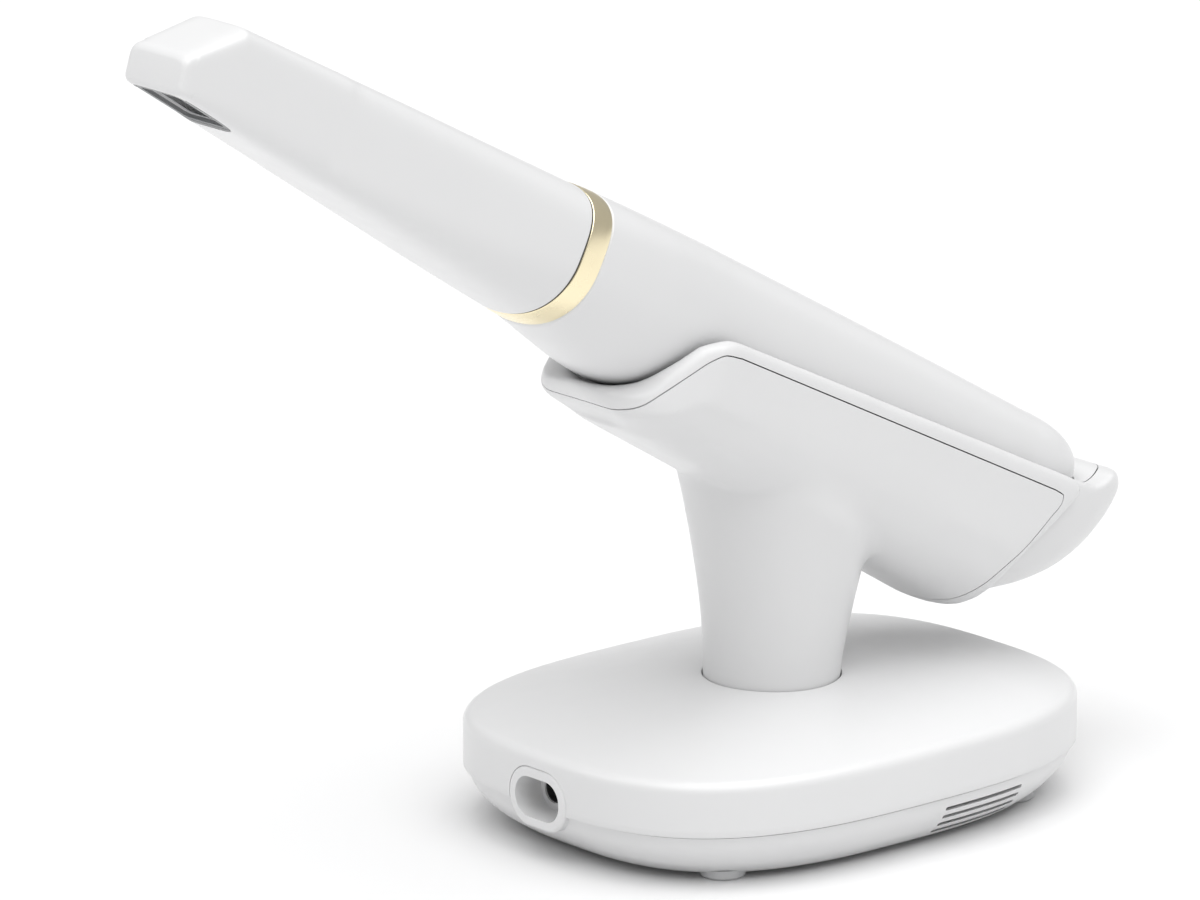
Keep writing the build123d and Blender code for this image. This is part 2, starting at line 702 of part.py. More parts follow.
# ---------------------------------------------------------------- base
def base_loft(sections, inset=0.0, mode=Mode.ADD):
    """Loft through scaled base outlines at (height, scale)."""
    faces = []
    for height, scale in sections:
        with BuildSketch(Plane.XY.offset(height)) as section:
            base_outline(scale, inset)
        faces.append(section.sketch)
    loft(faces, mode=mode)


def upright_pegs(places, radius, bottom, top, mode=Mode.ADD):
    """Upright round pegs at (x, y) places."""
    with BuildSketch(Plane.XY.offset(bottom)) as face:
        with Locations(*places):
            Circle(radius)
    extrude(face.sketch, amount=top - bottom, mode=mode)


def port_block(width, height, start, end, mode=Mode.ADD):
    """Stadium-ended block along X at the power inlet."""
    with BuildSketch(Plane(origin=(start, 0, PORT_Z), x_dir=(0, 1, 0), z_dir=(1, 0, 0))) as face:
        RectangleRounded(width, height, height / 2 - 0.2)
    extrude(face.sketch, amount=end - start, mode=mode)


DOME_SCALES = (1.0, 0.9, 0.75, 0.58, 0.4, 0.2)
DOME = [(WALL_TOP_Z + DOME_RISE * (1 - scale ** 2), scale) for scale in DOME_SCALES]
BOTTOM_SHELL = [(SEAM_Z - 0.3, 0.985), (9.0, 0.97), (5.0, 0.92), (FLOOR_SKIN_Z, BOTTOM_SCALE)]
BEZEL_MARGIN = 2.3
BEZEL_FRONT = -67.0
BEZEL_BACK = BEZEL_FRONT + PORT_DEPTH + 2.0
BEZEL_WIDTH = PORT_WIDTH + 2 * BEZEL_MARGIN
BEZEL_HEIGHT = PORT_HEIGHT + 2 * BEZEL_MARGIN
FIT_GAP = 0.1                    # play of a piece in its seat, both sides together
JACK_Y = 3.0
JACK_RADIUS = 3.1
JACK_BORE = 2.75
JACK_BODY = 9.0
JACK_LENGTH = 12.0
JACK_NOSE = 1.6
JACK_PIN_RADIUS = 1.0
JACK_PIN_ROOT = 8.0              # where the pin meets the jack's back wall
BALLAST_TOP = 9.0
BAFFLE_Y = -38.4

with BuildPart() as base_top_shell:
    with BuildSketch(Plane.XY.offset(SEAM_Z)) as wall_face:
        base_outline(1.0)
    extrude(wall_face.sketch, amount=WALL_TOP_Z - SEAM_Z)
    base_loft(DOME)
    base_loft([(z - BASE_SKIN, scale) for z, scale in DOME], BASE_SKIN, Mode.SUBTRACT)
    with BuildSketch(Plane.XY.offset(SEAM_Z)) as hollow_face:
        base_outline(1.0, BASE_SKIN)
    extrude(hollow_face.sketch, amount=WALL_TOP_Z - SEAM_Z - BASE_SKIN, mode=Mode.SUBTRACT)
    upright_pegs(FOOT_PLACES, 4.0, SEAM_Z, WALL_TOP_Z)
    upright_pegs(FOOT_PLACES, 1.3, SEAM_Z - 1, WALL_TOP_Z - 3, Mode.SUBTRACT)
    upright_pegs([(0, 0)], NECK_SECTIONS[0][2] + NECK_GAP, 20, 40, Mode.SUBTRACT)
    port_block(BEZEL_WIDTH, BEZEL_HEIGHT, -70, -50, Mode.SUBTRACT)
finish(base_top_shell, "base_top_shell")

with BuildPart() as base_bottom_shell:
    base_loft(BOTTOM_SHELL)
    hollow = [(SEAM_Z, 0.985), (9.0, 0.97), (5.0, 0.92), (FLOOR_SKIN_Z + 2.2, 0.87)]
    base_loft(hollow, BASE_SKIN, Mode.SUBTRACT)
    upright_pegs(FOOT_PLACES, 4.0, FLOOR_SKIN_Z + 1, SEAM_Z - 0.3)
    upright_pegs(FOOT_PLACES, FOOT_RADIUS + 0.1, FLOOR_SKIN_Z - 1, FLOOR_SKIN_Z + 1.0, Mode.SUBTRACT)
    upright_pegs(FOOT_PLACES, 2.7, FLOOR_SKIN_Z, 4.5, Mode.SUBTRACT)
    upright_pegs(FOOT_PLACES, 1.6, FLOOR_SKIN_Z, SEAM_Z, Mode.SUBTRACT)
    for i in range(VENT_COUNT):
        height = VENT_FIRST_Z - i * VENT_PITCH
        with BuildSketch(Plane.XY.offset(height - VENT_HEIGHT / 2)) as slot:
            with Locations((VENT_X, -46)):
                Rectangle(VENT_LENGTH, 14)
        extrude(slot.sketch, amount=VENT_HEIGHT, mode=Mode.SUBTRACT)
    port_block(BEZEL_WIDTH, BEZEL_HEIGHT, -70, -50, Mode.SUBTRACT)
finish(base_bottom_shell, "base_bottom_shell")

def jack_rod(radius, start, end, mode=Mode.ADD):
    """Round block along X at the power jack."""
    with BuildSketch(Plane(origin=(start, 0, PORT_Z), x_dir=(0, 1, 0), z_dir=(1, 0, 0))) as face:
        with Locations((JACK_Y, 0)):
            Circle(radius)
    extrude(face.sketch, amount=end - start, mode=mode)


with BuildPart() as port_bezel:
    port_block(BEZEL_WIDTH - FIT_GAP, BEZEL_HEIGHT - FIT_GAP, BEZEL_FRONT, BEZEL_BACK)
    rim_edges = port_bezel.edges().group_by(Axis.X)[0]
    fillet(rim_edges, radius=0.8)
    port_block(PORT_WIDTH, PORT_HEIGHT, BEZEL_FRONT - 1, BEZEL_FRONT + PORT_DEPTH, Mode.SUBTRACT)
    jack_rod(JACK_RADIUS, BEZEL_FRONT, BEZEL_BACK + 1, Mode.SUBTRACT)
finish(port_bezel, "port_bezel")

with BuildPart() as power_jack:
    with BuildSketch(Plane(origin=(BEZEL_BACK, 0, PORT_Z), x_dir=(0, 1, 0), z_dir=(1, 0, 0))) as body_face:
        with Locations((JACK_Y, 0)):
            Rectangle(JACK_BODY, JACK_BODY)
    extrude(body_face.sketch, amount=JACK_LENGTH)
    jack_rod(JACK_RADIUS - FIT_GAP / 2, BEZEL_BACK - JACK_NOSE, BEZEL_BACK)
    jack_rod(JACK_BORE, BEZEL_BACK - JACK_NOSE, BEZEL_BACK + JACK_PIN_ROOT, Mode.SUBTRACT)
finish(power_jack, "power_jack")

with BuildPart() as jack_pin:
    jack_rod(JACK_PIN_RADIUS, BEZEL_BACK - 0.5, BEZEL_BACK + JACK_PIN_ROOT)
finish(jack_pin, "jack_pin")

with BuildPart() as rubber_feet:
    upright_pegs(FOOT_PLACES, FOOT_RADIUS, 0.0, FLOOR_SKIN_Z + 1.0)
    chamfer(rubber_feet.edges().group_by(Axis.Z)[0], length=0.5)
finish(rubber_feet, "rubber_feet")

with BuildPart() as base_screws:
    upright_pegs(FOOT_PLACES, 2.5, FLOOR_SKIN_Z + 1.1, 4.5)
    upright_pegs(FOOT_PLACES, 1.25, 4.5, 19.0)
finish(base_screws, "base_screws")

with BuildPart() as ballast_plate:
    with BuildSketch(Plane.XY.offset(FLOOR_SKIN_Z + 2.2)):
        Rectangle(64, 76)
        Rectangle(88, 46)
    extrude(amount=BALLAST_TOP - FLOOR_SKIN_Z - 2.2)
finish(ballast_plate, "ballast_plate")

with BuildPart() as dock_board:
    with BuildSketch(Plane.XY.offset(11.0)):
        Rectangle(56, 44)
    extrude(amount=1.6)
    for x, y, length, width, height in ((-16, 8, 12, 12, 2.0), (10, -10, 16, 10, 2.4), (18, 12, 8, 8, 5.0)):
        with BuildSketch(Plane.XY.offset(12.6)) as chip:
            with Locations((x, y)):
                Rectangle(length, width)
        extrude(chip.sketch, amount=height)
finish(dock_board, "dock_board")

with BuildPart() as board_posts:
    upright_pegs([(-24, -18), (-24, 18), (24, -18), (24, 18)], 2.4, BALLAST_TOP, 11.0)
finish(board_posts, "board_posts")

with BuildPart() as vent_baffle:
    with BuildSketch(Plane.XY.offset(FLOOR_SKIN_Z + 2.2)):
        with Locations((VENT_X, BAFFLE_Y)):
            Rectangle(VENT_LENGTH + 4, 0.8)
    extrude(amount=8.0)
finish(vent_baffle, "vent_baffle")

with BuildPart() as neck_flange:
    upright_pegs([(0, 0)], 22.0, 21.4, 24.0)
    upright_pegs([(0, 0)], 5.0, 20.0, 25.0, Mode.SUBTRACT)
    upright_pegs([(-NECK_BOSS_X, 0), (NECK_BOSS_X, 0)], 1.6, 20.0, 25.0, Mode.SUBTRACT)
finish(neck_flange, "neck_flange")

with BuildPart() as neck_screws:
    upright_pegs([(-NECK_BOSS_X, 0), (NECK_BOSS_X, 0)], 2.7, 19.6, 21.4)
    upright_pegs([(-NECK_BOSS_X, 0), (NECK_BOSS_X, 0)], 1.2, 21.4, 36.0)
finish(neck_screws, "neck_screws")

LEAD_RADIUS = 1.4
LEAD_ROUTE = [(0, 0, 19.0), (0, 0, 68.5), (16.0, 0, 64.0), tuple(tilted(129.2, 0, -20.8))]
with BuildPart() as charge_lead:
    with BuildLine() as lead_line:
        FilletPolyline(*LEAD_ROUTE, radius=5.0)
    with BuildSketch(Plane.XY.offset(LEAD_ROUTE[0][2])) as lead_face:
        Circle(LEAD_RADIUS)
    sweep(lead_face.sketch, path=lead_line.line)
finish(charge_lead, "charge_lead")
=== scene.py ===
"""Intraoral scanner resting in its charging stand: looks, light and camera.

Sizes are in millimetres in the tables below and turn into metres where meshes are made.  The
scanner and its cradle share a tilted frame: along the handle towards its tail, across (Y), and
up, square to the handle's top.
"""
import json
from math import cos, hypot, pi, radians, sin, tau

import bmesh
import bpy
import numpy as np
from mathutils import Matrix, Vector


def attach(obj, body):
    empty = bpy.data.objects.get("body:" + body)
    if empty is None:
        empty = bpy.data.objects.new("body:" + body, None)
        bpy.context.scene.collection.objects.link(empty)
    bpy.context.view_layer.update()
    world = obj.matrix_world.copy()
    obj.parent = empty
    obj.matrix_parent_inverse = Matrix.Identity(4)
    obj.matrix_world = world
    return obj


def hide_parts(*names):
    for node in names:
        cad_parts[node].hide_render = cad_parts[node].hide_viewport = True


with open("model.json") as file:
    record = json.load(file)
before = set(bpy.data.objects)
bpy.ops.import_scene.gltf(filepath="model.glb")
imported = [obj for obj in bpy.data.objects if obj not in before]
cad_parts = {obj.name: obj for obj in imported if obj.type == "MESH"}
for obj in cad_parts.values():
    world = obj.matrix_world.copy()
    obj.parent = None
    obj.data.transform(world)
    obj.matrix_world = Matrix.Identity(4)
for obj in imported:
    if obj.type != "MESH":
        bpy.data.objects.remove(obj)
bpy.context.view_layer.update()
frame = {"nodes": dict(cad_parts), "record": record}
nodes = frame["nodes"]

MM = 0.001

# ---------------------------------------------------------------- places and sizes
TILT = radians(28.0)
RING_CENTRE = np.array([-70.7, 0.0, 137.5])
AXIS = np.array([cos(TILT), 0.0, -sin(TILT)])
ACROSS = np.array([0.0, 1.0, 0.0])
UP = np.array([sin(TILT), 0.0, cos(TILT)])

AROUND = 144                     # points round a scanner section
SIDE_REACH = 60.0                # half width of a cut right across the object
SHARP_ANGLE = radians(32.0)      # edges over this are shaded sharp
TOP_POWER, BOTTOM_POWER, TIP_END_POWER = 3.3, 2.15, 6.0
TIP_WALL = 1.5
SHELL_WALL = 1.8

# (along, half width, top, bottom)
TIP_SECTIONS = np.array([
    (-116.0, 9.2, 15.3, -2.7),
    (-86.0, 11.3, 15.4, -5.8),
    (-55.0, 14.0, 15.4, -9.0),
    (-23.0, 16.9, 15.3, -12.7),
    (-0.5, 19.0, 15.3, -15.3),
])
RAMP_TOP = (-98.6, 15.4)
RAMP_FOOT = (-111.1, 4.8)
END_LEAN = -0.194                # forward lean of the end face, along per up
END_UP = 4.0                     # level that the leaning sections turn about
LEAN_START, LEAN_SPAN = -92.0, 12.0
POWER_SPAN = 105.0               # length over which the section squares up
TIP_END = -110.94                # of the middle of the leaning end face
EDGE_ROUND = 1.3
RAMP_SOFTNESS = 0.15
TIP_BORE_END = -108.0

RING_LENGTH = 5.9
RING_POWERS = (TOP_POWER, BOTTOM_POWER)
RING_FRONT = (19.1, 15.35, -15.35)      # half width, top and bottom at the ring's front
RING_FLARE = (0.035, 0.055, -0.085)     # their growth per length
COLLAR = (17.25, 13.55, -13.55)  # half width, top and bottom inside the ring
RING_CROWN = [                   # (along, how far the ring's face is grown)
    (0.3, -0.18), (0.42, -0.05), (0.8, 0.0), (2.0, 0.05), (3.2, 0.07), (4.4, 0.05), (5.4, 0.0),
    (5.75, -0.08), (5.9, -0.3),
]
HANDLE_SECTIONS = np.array([
    (RING_LENGTH, 19.3, 15.7, -15.9),
    (16.0, 19.6, 15.8, -18.0),
    (25.0, 19.4, 15.8, -19.7),
    (32.0, 18.7, 15.8, -20.3),
    (40.0, 17.7, 15.8, -18.4),
    (50.0, 16.9, 15.6, -15.8),
    (64.0, 16.6, 15.3, -14.9),
    (110.0, 16.4, 14.1, -14.2),
    (140.0, 16.2, 13.1, -13.5),
    (153.0, 15.8, 12.7, -12.9),
])
TAIL_START = 150.0
TAIL_LENGTH = 22.0
TAIL_POWER = 2.5

BUTTON_ALONG = 31.0
BUTTON_SIZE = (13.0, 8.0)
LIGHT_BAND = 1.65
PAD_PLACES = [(133.0, -4.0), (133.0, 4.0), (139.0, -4.0), (139.0, 4.0)]
PAD_HOLE = 2.05
BUTTON_CUT = (12.0, 20.0)        # levels that the button's hole is cut between
PAD_CUT = (-18.0, -11.0)
HANDLE_BORE_END = 164.0

WINDOW_SPAN = (-107.2, -92.5)
WINDOW_HALF_WIDTH = 6.4
WINDOW_LEVEL = -4.15
WINDOW_SLOPE = radians(5.75)
FRAME_MARGIN = 1.6
WINDOW_CORNER = 0.25             # exponent of the window's rounded corners
WINDOW_CUT, FRAME_CUT = (-6.0, 3.0), (-1.0, 3.0)  # from, to, outwards

HULL_SECTIONS = np.array([(20.0, 23.0, -26.9), (90.0, 22.6, -31.0), (166.0, 21.4, -35.8)])
HULL_LEVEL, HULL_POWER = -10.0, 2.9
SEAT_START, SEAT_RISE = 3.0, 8.5  # over the hull's bottom, where the flare sinks in
NECK_SPAN = (60, 125)
BOW_TOP, BOW_ROUND, BOW_MIDDLE = -20.2, 6.6, 46.0
BOW_END, BOW_FADE, BOW_CORE = 44.0, 14.0, 12.0
BOW_ZONE_END, BOW_ZONE_FADE = 31.0, 5.0         # where the bow is smoothed, along
BOW_ZONE_FLOOR, BOW_ZONE_RISE = -28.5, 2.0      # and up
LIP_FULL, LIP_FADE = 1.6, 2.0
JOINT_FLOOR, JOINT_FRONT = -95.0, -60.0         # past the cradle's bottom and bow
RIM_LINE = [
    (18.0, -21.6), (29.5, -21.5), (33.4, -18.6), (36.6, -12.0), (40.5, -5.6), (47.0, -1.9), (160.0, 2.3),
]
PARTING_LINE = [
    (18.0, -28.4), (24.0, -28.1), (28.8, -27.0), (32.6, -23.6), (35.6, -18.6), (39.6, -12.2),
    (42.8, -7.9), (45.8, -5.6), (50.0, -4.9),
]
PARTING_CORNER = [(153.6, -2.0), (156.4, -2.3), (156.9, -3.9), (155.2, -8.0)]
PARTING_REAR = [(152.2, -14.6), (149.2, -20.0), (146.4, -26.0), (144.0, -34.0), (143.0, -42.0)]
PARTING_GAP = 0.28
REAR_EDGE = [
    (160.0, 2.3), (163.2, 0.4), (159.0, -7.5), (153.0, -17.2), (150.0, -25.0), (148.0, -40.0),
]

# the stern's plan outlines: (up, half width, end)
STERN_LEVELS = np.array([
    (-31.5, 12.5, 153.0),
    (-27.0, 16.6, 161.5),
    (-22.0, 18.6, 170.0),
    (-15.0, 19.6, 178.3),
    (-7.0, 20.0, 183.8),
    (1.0, 20.0, 186.8),
    (9.4, 20.0, 187.8),
])
STERN_FRONT = 118.0
STERN_ROUND = 26.0
STERN_TOP = [(110, 0.9), (160, 2.2), (168, 2.8), (172, 4.8), (176, 7.6), (181, 9.0), (195, 9.2)]
STERN_LIP = 2.4
STERN_CROWN = 5.2
STERN_STEP = 0.7
STERN_JOINT_END = 180.5
STERN_JOINT_FLOOR = -9.0
TAIL_ROOM = 0.7
TAIL_WAY = (15.2, 172.9)         # half width and end of the tail's way out
ROOM_FRONT = 100.0
CLEAR = 30.0                     # past everything above

BASE_HALF = (66.9, 52.0)
BASE_POWER = 2.86
BASE_AROUND = 288
SEAM_Z = 12.2
SEAM_CHAMFER = 0.35
WALL_TOP_Z = 24.0
DOME_RISE = 6.0
BASE_SKIN = 2.4
BASE_EDGE_ROUND = 2.8
NECK_HOLE = 15.35
LOWER_PROFILE = np.array([(1.2, 0.84), (5.0, 0.92), (9.0, 0.97), (11.9, 0.985)])
LOWER_UNDERSIDE = [(1.2, 0.4), (1.2, 0.81)]     # (height, share of the base's outline)
LOWER_EDGE = [(1.2, 0.018), (1.32, 0.008), (1.7, 0.0015)]    # (height, share taken off)
LOWER_INSIDE = [(11.9, 0.95), (9.0, 0.93), (5.0, 0.88), (3.4, 0.82), (3.4, 0.4)]
FOOT_PLACES = [(-42, -32), (-42, 32), (42, -32), (42, 32)]
FOOT_SEAT = 5.1
FOOT_CUT, PORT_CUT, VENT_CUT = (-1.0, 2.2), (-72.0, -50.0), (38.0, 56.0)  # from, to
PORT_Z = 14.2
BEZEL_SIZE = (18.9, 13.6)
VENT_X, VENT_LENGTH, VENT_HEIGHT, VENT_PITCH, VENT_TOP_Z, VENT_COUNT = 17.5, 24.0, 0.9, 2.05, 9.2, 4
CREASE_HEIGHTS = (56, 104)       # where the neck's flare meets the cradle
CREASE_RADII = (17.5, 34)
CREASE_HOLLOW = 0.02             # how far a vertex lies under its neighbours' middle
CREASE_SPREAD = 16
CRADLE_VOXEL, STERN_VOXEL = 0.55, 0.5
# rounds of smoothing
SKIN_ROUNDS, LIP_ROUNDS, BOW_ROUNDS, CREASE_ROUNDS, LAST_ROUNDS = 8, 34, 60, 160, 4
STERN_ROUNDS = 14
NECK_AXIS = [(24, 0.0), (31, 0.1), (40, 0.9), (52, 1.8), (64, 2.4), (76, 2.8), (84, 3.0)]


# ---------------------------------------------------------------- curves and rings
def signed_power(value, power):
    return np.sign(value) * np.abs(value) ** power


def smooth_curve(xs, ys, at):
    """Monotone cubic curve through the points, read at other places."""
    xs, ys, at = (np.asarray(v, float) for v in (xs, ys, at))
    step = np.diff(xs)
    slope = np.diff(ys) / step
    bend = np.zeros(len(xs))
    same = slope[:-1] * slope[1:] > 0
    first, second = 2 * step[1:] + step[:-1], step[1:] + 2 * step[:-1]
    with np.errstate(divide="ignore", invalid="ignore"):
        inner = (first + second) / (first / slope[:-1] + second / slope[1:])
    bend[1:-1] = np.where(same, inner, 0.0)
    bend[0], bend[-1] = slope[0], slope[-1]
    i = np.clip(np.searchsorted(xs, at) - 1, 0, len(step) - 1)
    t = (at - xs[i]) / step[i]
    rise = ys[i + 1] - ys[i]
    return (ys[i] + t * step[i] * bend[i]
            + t ** 2 * (3 * rise - step[i] * (2 * bend[i] + bend[i + 1]))
            + t ** 3 * (step[i] * (bend[i] + bend[i + 1]) - 2 * rise))


def soft_line(points, count=8):
    """Smooth open line through the points, for side-view cuts."""
    points = np.asarray(points, float)
    chord = np.concatenate([[0], np.cumsum(np.hypot(*np.diff(points, axis=0).T))])
    at = np.interp(np.arange((len(points) - 1) * count + 1) / count, range(len(points)), chord)
    return np.column_stack([smooth_curve(chord, points[:, k], at) for k in (0, 1)])


def tilted(points):
    """Rows of (along, across, up) as rows of the object's own frame."""
    points = np.asarray(points, float)
    return RING_CENTRE + points[:, :1] * AXIS + points[:, 1:2] * ACROSS + points[:, 2:] * UP


def section(along, half_width, top, bottom, powers, lean=0.0):
    """Superellipse section of the scanner, squarer above than below."""
    middle = 0.0 if bottom < -top / 2 else (top + bottom) / 2
    angle = np.arange(AROUND) * tau / AROUND
    upper = np.sin(angle) >= 0
    exponent = np.where(upper, 2 / powers[0], 2 / powers[1])
    height = np.where(upper, top - middle, middle - bottom)
    across = half_width * signed_power(np.cos(angle), exponent)
    up = middle + height * signed_power(np.sin(angle), exponent)
    return tilted(np.column_stack([along + lean * (up - END_UP), across, up]))


def table(rows, along):
    """Half width, top and bottom of a section table at one place."""
    return [float(smooth_curve(rows[:, 0], rows[:, k], [along])[0]) for k in (1, 2, 3)]


# ---------------------------------------------------------------- mesh helpers
def new_object(name, verts, faces):
    mesh = bpy.data.meshes.new(name)
    mesh.from_pydata([tuple(v) for v in np.asarray(verts) * MM], [], faces)
    mesh.validate()
    obj = bpy.data.objects.new(name, mesh)
    bpy.context.scene.collection.objects.link(obj)
    face_outwards(obj)
    return obj


def face_outwards(obj):
    """Turn a closed mesh's faces outwards."""
    work = bmesh.new()
    work.from_mesh(obj.data)
    bmesh.ops.recalc_face_normals(work, faces=work.faces)
    work.to_mesh(obj.data)
    work.free()


def bands(count, rings, closed=False):
    """Quads between neighbouring rings of the same count."""
    faces = []
    for r in range(rings if closed else rings - 1):
        low, high = r * count, (r + 1) % rings * count
        for i in range(count):
            j = (i + 1) % count
            faces.append((low + i, low + j, high + j, high + i))
    return faces


def solid_of_rings(name, rings):
    """Closed body through rings, with a flat face at both ends."""
    count = len(rings[0])
    last = (len(rings) - 1) * count
    faces = bands(count, len(rings))
    faces += [tuple(range(count))[::-1], tuple(range(last, last + count))]
    return new_object(name, np.vstack(rings), faces)


def sleeve(name, outer, inner):
    """Thick-walled tube, open at its first rings and closed at its last."""
    return solid_of_rings(name, outer[::-1] + inner)


def hoop(name, rings):
    """Body of rings that close on themselves, like a torus."""
    return new_object(name, np.vstack(rings), bands(len(rings[0]), len(rings), closed=True))


def prism(outline, origin, across, along, low, high):
    """Straight block over a flat outline, from low to high along the outline's normal."""
    outline = np.asarray(outline, float)
    across, along = np.asarray(across, float), np.asarray(along, float)
    normal = np.cross(across, along)
    flat = np.asarray(origin, float) + outline[:, :1] * across + outline[:, 1:] * along
    return solid_of_rings("cutter", [flat + normal * low, flat + normal * high])


def side_prism(points):
    """Block right across the object over a side-view outline of (along, up)."""
    return prism(points, RING_CENTRE, AXIS, UP, -SIDE_REACH, SIDE_REACH)


def bake(obj):
    """Apply an object's modifiers."""
    graph = bpy.context.evaluated_depsgraph_get()
    mesh = bpy.data.meshes.new_from_object(obj.evaluated_get(graph))
    obj.modifiers.clear()
    old, obj.data = obj.data, mesh
    bpy.data.meshes.remove(old)


def carve(obj, cutter, operation="DIFFERENCE"):
    """Boolean one object with another, which is used up."""
    cut = obj.modifiers.new("cut", "BOOLEAN")
    cut.operation = operation
    cut.solver = "EXACT"
    cut.object = cutter
    bake(obj)
    bpy.data.objects.remove(cutter)


def remesh(obj, size):
    """Even skin of small quads over everything the object encloses."""
    skin = obj.modifiers.new("skin", "REMESH")
    skin.mode = "VOXEL"
    skin.voxel_size = size * MM
    bake(obj)


def copy_of(name, *sources):
    """New object holding copies of CAD meshes."""
    work = bmesh.new()
    for source in sources:
        work.from_mesh(source.data)
    bmesh.ops.remove_doubles(work, verts=work.verts, dist=1e-7)
    mesh = bpy.data.meshes.new(name)
    work.to_mesh(mesh)
    work.free()
    obj = bpy.data.objects.new(name, mesh)
    bpy.context.scene.collection.objects.link(obj)
    return obj


def vertex_rows(obj, field):
    """A three-number field of every vertex, as rows."""
    values = np.empty(len(obj.data.vertices) * 3)
    obj.data.vertices.foreach_get(field, values)
    return values.reshape(-1, 3)


def move_vertices(obj, places):
    obj.data.vertices.foreach_set("co", places.ravel())
    obj.data.update()


def edge_ends(obj):
    edges = np.empty(len(obj.data.edges) * 2, dtype=np.int64)
    obj.data.edges.foreach_get("vertices", edges)
    return edges.reshape(-1, 2).T


def neighbour_count(start, end, count):
    return np.maximum(np.bincount(start, minlength=count) + np.bincount(end, minlength=count), 1)


def neighbour_total(values, start, end):
    """Sum of one value over each vertex's neighbours."""
    return (np.bincount(start, values[end], len(values))
            + np.bincount(end, values[start], len(values)))


def soften(obj, rounds, weight=None):
    """Even out a mesh by moving vertices towards their neighbours' middle."""
    places = vertex_rows(obj, "co")
    start, end = edge_ends(obj)
    weight = np.full(len(places), 1.0) if weight is None else weight
    moving = (weight[start] > 0) | (weight[end] > 0)
    start, end = start[moving], end[moving]
    share = neighbour_count(start, end, len(places))
    for _ in range(rounds):
        middle = np.empty_like(places)
        for k in range(3):
            middle[:, k] = neighbour_total(places[:, k], start, end) / share
        places += 0.5 * weight[:, None] * (middle - places)
    move_vertices(obj, places)


def finish_piece(obj, body, slot, *replaced):
    """Shade a piece, give it its slot's material, and tie it to its body."""
    obj.data.shade_smooth()
    obj.data.set_sharp_from_angle(angle=SHARP_ANGLE)
    obj.data.materials.clear()
    obj.data.materials.append(MATERIALS[slot])
    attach(obj, body)
    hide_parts(*replaced)


# ---------------------------------------------------------------- materials
def new_material(name):
    material = bpy.data.materials.new(name)
    material.use_nodes = True
    tree = material.node_tree
    return material, tree, tree.nodes["Principled BSDF"]


def noise(tree, scale, detail=2.0, stretch=(1.0, 1.0, 1.0)):
    """Noise in the object's own metres."""
    place = tree.nodes.new("ShaderNodeTexCoord")
    mapping = tree.nodes.new("ShaderNodeMapping")
    mapping.inputs["Scale"].default_value = stretch
    texture = tree.nodes.new("ShaderNodeTexNoise")
    texture.inputs["Scale"].default_value = scale
    texture.inputs["Detail"].default_value = detail
    tree.links.new(place.outputs["Object"], mapping.inputs["Vector"])
    tree.links.new(mapping.outputs["Vector"], texture.inputs["Vector"])
    return texture.outputs["Fac"]


def spread(tree, value, low, high):
    """Map 0.3..0.7 of a noise to a range."""
    ramp = tree.nodes.new("ShaderNodeMapRange")
    ramp.inputs["From Min"].default_value = 0.3
    ramp.inputs["From Max"].default_value = 0.7
    ramp.inputs["To Min"].default_value = low
    ramp.inputs["To Max"].default_value = high
    tree.links.new(value, ramp.inputs["Value"])
    return ramp.outputs["Result"]


def tint(tree, value, first, second):
    mix = tree.nodes.new("ShaderNodeMix")
    mix.data_type = "RGBA"
    mix.inputs[6].default_value = (*first, 1)
    mix.inputs[7].default_value = (*second, 1)
    tree.links.new(value, mix.inputs["Factor"])
    return mix.outputs[2]


def surface(name, first, second, rough, grain=900.0, depth=0.00001, patch=28.0,
            metallic=0.0, coat=0.0, stretch=(1.0, 1.0, 1.0)):
    """Moulded or machined surface: faint colour drift, uneven gloss and a fine grain."""
    material, tree, shader = new_material(name)
    drift = spread(tree, noise(tree, patch, 3.0), 0.0, 1.0)
    tree.links.new(tint(tree, drift, first, second), shader.inputs["Base Color"])
    gloss = spread(tree, noise(tree, patch * 6.0, 2.0, stretch), rough[0], rough[1])
    tree.links.new(gloss, shader.inputs["Roughness"])
    bump = tree.nodes.new("ShaderNodeBump")
    bump.inputs["Strength"].default_value = 0.35
    bump.inputs["Distance"].default_value = depth
    tree.links.new(noise(tree, grain, 2.0, stretch), bump.inputs["Height"])
    tree.links.new(bump.outputs["Normal"], shader.inputs["Normal"])
    shader.inputs["Metallic"].default_value = metallic
    shader.inputs["Coat Weight"].default_value = coat
    shader.inputs["Coat Roughness"].default_value = 0.18
    return material


def glass(name, colour, rough):
    """Coated optical glass."""
    material, tree, shader = new_material(name)
    value = spread(tree, noise(tree, 60.0), rough[0], rough[1])
    tree.links.new(value, shader.inputs["Roughness"])
    shade = spread(tree, noise(tree, 25.0), 0.0, 1.0)
    darker = tuple(c * 0.92 for c in colour)
    tree.links.new(tint(tree, shade, colour, darker), shader.inputs["Base Color"])
    shader.inputs["Transmission Weight"].default_value = 0.9
    shader.inputs["IOR"].default_value = 1.5
    return material


